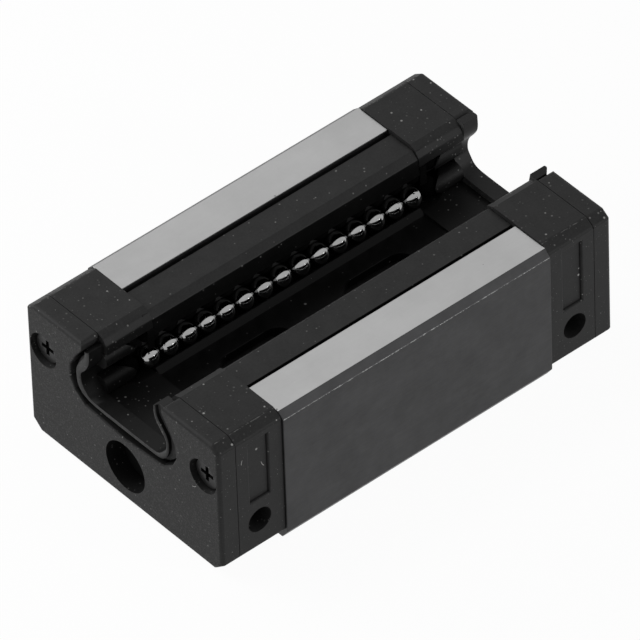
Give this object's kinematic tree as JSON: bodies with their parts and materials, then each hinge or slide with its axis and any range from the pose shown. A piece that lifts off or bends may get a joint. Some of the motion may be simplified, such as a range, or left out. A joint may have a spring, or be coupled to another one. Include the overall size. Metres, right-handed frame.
{
  "type": "linear guide block",
  "caption": "Low-profile carriage of a profile-rail linear guide, with recirculating ball rows, plastic end caps, seal plates and retainers, resting on its mounting face.",
  "frame": {"origin": "middle of the mounting face, under the middle of the block", "axes": "+X along the rail, +Y across it to the left, +Z out of the rail groove"},
  "size_m": [0.0584, 0.034, 0.0199],
  "materials": {
    "ground_steel": "dark blued steel with fine ground lands",
    "ball_steel": "polished",
    "cap_plastic": "fine moulded",
    "guide_plastic": "moulded",
    "seal_plate_plastic": "speckled moulded",
    "lip_rubber": "matt",
    "screw_steel": "black oxide",
    "retainer_plastic": "moulded",
    "edge_seal_plastic": "moulded"
  },
  "bodies": {
    "carriage": {"carriage_body": "ground_steel", "front_guide_plate": "guide_plastic", "rear_guide_plate": "guide_plastic", "front_end_cap": "cap_plastic", "rear_end_cap": "cap_plastic", "front_seal_plate": "seal_plate_plastic", "rear_seal_plate": "seal_plate_plastic", "front_seal_lip": "lip_rubber", "rear_seal_lip": "lip_rubber", "front_cap_screws": "screw_steel", "rear_cap_screws": "screw_steel", "floor_retainer": "retainer_plastic", "left_middle_retainer": "retainer_plastic", "right_middle_retainer": "retainer_plastic", "left_edge_seal": "edge_seal_plastic", "right_edge_seal": "edge_seal_plastic"},
    "left_deep_load": {"left_deep_load_balls": "ball_steel"},
    "left_deep_return": {"left_deep_return_balls": "ball_steel"},
    "left_deep_front_turn": {"left_deep_front_turn_balls": "ball_steel"},
    "left_deep_rear_turn": {"left_deep_rear_turn_balls": "ball_steel"},
    "left_shallow_load": {"left_shallow_load_balls": "ball_steel"},
    "left_shallow_return": {"left_shallow_return_balls": "ball_steel"},
    "left_shallow_front_turn": {"left_shallow_front_turn_balls": "ball_steel"},
    "left_shallow_rear_turn": {"left_shallow_rear_turn_balls": "ball_steel"},
    "right_deep_load": {"right_deep_load_balls": "ball_steel"},
    "right_deep_return": {"right_deep_return_balls": "ball_steel"},
    "right_deep_front_turn": {"right_deep_front_turn_balls": "ball_steel"},
    "right_deep_rear_turn": {"right_deep_rear_turn_balls": "ball_steel"},
    "right_shallow_load": {"right_shallow_load_balls": "ball_steel"},
    "right_shallow_return": {"right_shallow_return_balls": "ball_steel"},
    "right_shallow_front_turn": {"right_shallow_front_turn_balls": "ball_steel"},
    "right_shallow_rear_turn": {"right_shallow_rear_turn_balls": "ball_steel"}
  },
  "joints": [
    {"name": "left_deep_row_run", "type": "slide", "parent": "carriage", "child": "left_deep_load", "axis": [1, 0, 0], "range_m": [-0.0014, 0.0014]},
    {"name": "left_deep_return_run", "type": "slide", "parent": "carriage", "child": "left_deep_return", "axis": [-1, 0, 0], "range_m": [-0.0014, 0.0014]},
    {"name": "left_deep_front_turn", "type": "hinge", "parent": "carriage", "child": "left_deep_front_turn", "pos_m": [-0.02107, 0.0096, 0.0111], "axis": [0, 0.2422, 0.9702], "range_deg": [-30, 30]},
    {"name": "left_deep_rear_turn", "type": "hinge", "parent": "carriage", "child": "left_deep_rear_turn", "pos_m": [0.02107, 0.0096, 0.0111], "axis": [0, 0.2422, 0.9702], "range_deg": [-30, 30]},
    {"name": "left_shallow_row_run", "type": "slide", "parent": "carriage", "child": "left_shallow_load", "axis": [1, 0, 0], "range_m": [-0.0014, 0.0014]},
    {"name": "left_shallow_return_run", "type": "slide", "parent": "carriage", "child": "left_shallow_return", "axis": [-1, 0, 0], "range_m": [-0.0014, 0.0014]},
    {"name": "left_shallow_front_turn", "type": "hinge", "parent": "carriage", "child": "left_shallow_front_turn", "pos_m": [-0.02107, 0.0096, 0.0164], "axis": [0, -0.2422, 0.9702], "range_deg": [-30, 30]},
    {"name": "left_shallow_rear_turn", "type": "hinge", "parent": "carriage", "child": "left_shallow_rear_turn", "pos_m": [0.02107, 0.0096, 0.0164], "axis": [0, -0.2422, 0.9702], "range_deg": [-30, 30]},
    {"name": "right_deep_row_run", "type": "slide", "parent": "carriage", "child": "right_deep_load", "axis": [1, 0, 0], "range_m": [-0.0014, 0.0014]},
    {"name": "right_deep_return_run", "type": "slide", "parent": "carriage", "child": "right_deep_return", "axis": [-1, 0, 0], "range_m": [-0.0014, 0.0014]},
    {"name": "right_deep_front_turn", "type": "hinge", "parent": "carriage", "child": "right_deep_front_turn", "pos_m": [-0.02107, -0.0096, 0.0111], "axis": [0, 0.2422, -0.9702], "range_deg": [-30, 30]},
    {"name": "right_deep_rear_turn", "type": "hinge", "parent": "carriage", "child": "right_deep_rear_turn", "pos_m": [0.02107, -0.0096, 0.0111], "axis": [0, 0.2422, -0.9702], "range_deg": [-30, 30]},
    {"name": "right_shallow_row_run", "type": "slide", "parent": "carriage", "child": "right_shallow_load", "axis": [1, 0, 0], "range_m": [-0.0014, 0.0014]},
    {"name": "right_shallow_return_run", "type": "slide", "parent": "carriage", "child": "right_shallow_return", "axis": [-1, 0, 0], "range_m": [-0.0014, 0.0014]},
    {"name": "right_shallow_front_turn", "type": "hinge", "parent": "carriage", "child": "right_shallow_front_turn", "pos_m": [-0.02107, -0.0096, 0.0164], "axis": [0, -0.2422, -0.9702], "range_deg": [-30, 30]},
    {"name": "right_shallow_rear_turn", "type": "hinge", "parent": "carriage", "child": "right_shallow_rear_turn", "pos_m": [0.02107, -0.0096, 0.0164], "axis": [0, -0.2422, -0.9702], "range_deg": [-30, 30]}
  ],
  "couplings": [
    {"joint": "left_deep_return_run", "follows": "left_deep_row_run", "ratio": 1},
    {"joint": "left_deep_front_turn", "follows": "left_deep_row_run", "rad_per_m": 372.67},
    {"joint": "left_deep_rear_turn", "follows": "left_deep_row_run", "rad_per_m": 372.67},
    {"joint": "left_shallow_return_run", "follows": "left_shallow_row_run", "ratio": 1},
    {"joint": "left_shallow_front_turn", "follows": "left_shallow_row_run", "rad_per_m": 372.67},
    {"joint": "left_shallow_rear_turn", "follows": "left_shallow_row_run", "rad_per_m": 372.67},
    {"joint": "right_deep_return_run", "follows": "right_deep_row_run", "ratio": 1},
    {"joint": "right_deep_front_turn", "follows": "right_deep_row_run", "rad_per_m": 372.67},
    {"joint": "right_deep_rear_turn", "follows": "right_deep_row_run", "rad_per_m": 372.67},
    {"joint": "right_shallow_return_run", "follows": "right_shallow_row_run", "ratio": 1},
    {"joint": "right_shallow_front_turn", "follows": "right_shallow_row_run", "rad_per_m": 372.67},
    {"joint": "right_shallow_rear_turn", "follows": "right_shallow_row_run", "rad_per_m": 372.67}
  ]
}
